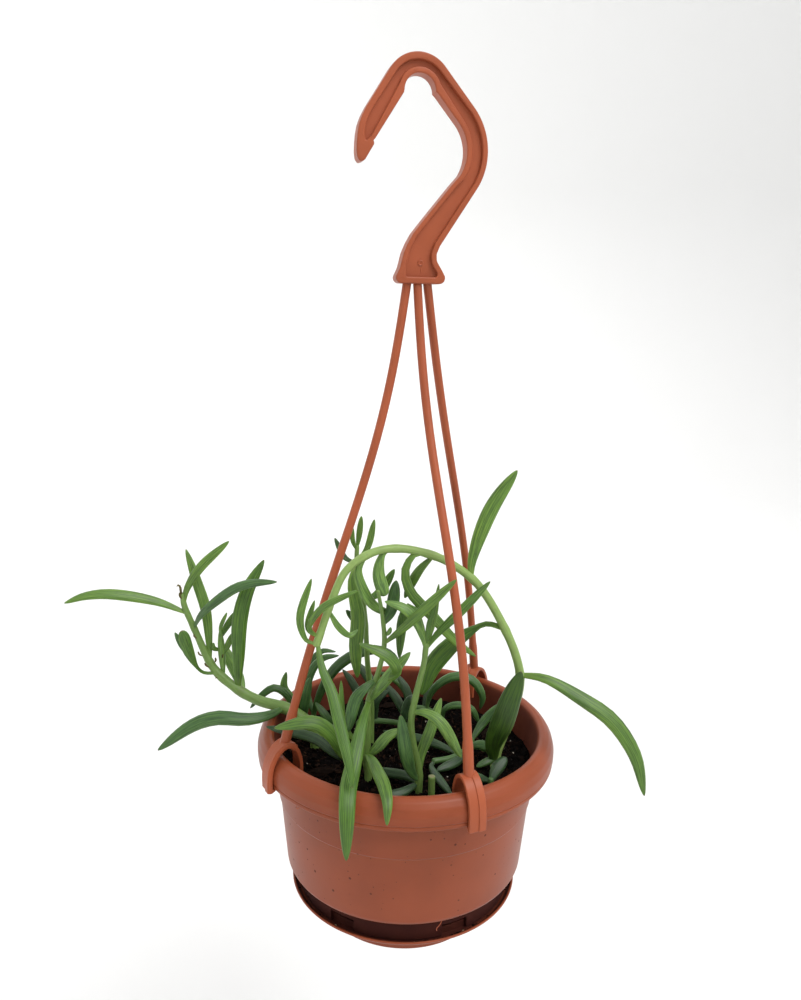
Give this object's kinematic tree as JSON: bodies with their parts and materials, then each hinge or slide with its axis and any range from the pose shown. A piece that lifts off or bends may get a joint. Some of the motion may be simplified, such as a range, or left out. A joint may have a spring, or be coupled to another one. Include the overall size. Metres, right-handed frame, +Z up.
{
  "type": "string of fishhooks in a hanging pot",
  "caption": "Trailing succulent with curved pointed leaves in a round hanging pot with a hook, thin rods and a clip-on drip saucer.",
  "frame": {"origin": "the top of the inside of the hook, where it hangs, straight above the middle of the pot", "axes": "+Z up along the pot's axis, +X to the right and -Y towards the viewer of the picture"},
  "size_m": [0.2839, 0.155, 0.41],
  "materials": {
    "terracotta_plastic": "moulded, slightly glossy",
    "potting_mix": "crumbly and matt",
    "leaf_light": "smooth succulent skin",
    "leaf_mid": "smooth succulent skin",
    "leaf_dark": "smooth succulent skin"
  },
  "bodies": {
    "root": {"pot": "terracotta_plastic", "saucer": "terracotta_plastic", "hanger": "terracotta_plastic", "soil": "potting_mix", "arching_stem": "leaf_light", "trailing_stem": "leaf_mid", "centre_left_stem": "leaf_mid", "centre_right_stem": "leaf_mid", "back_left_stem": "leaf_mid", "cut_stem": "leaf_mid", "creeper_back_left": "leaf_dark", "creeper_middle": "leaf_dark", "creeper_back": "leaf_dark", "creeper_right": "leaf_dark", "rim_shoot": "leaf_dark"}
  },
  "joints": []
}
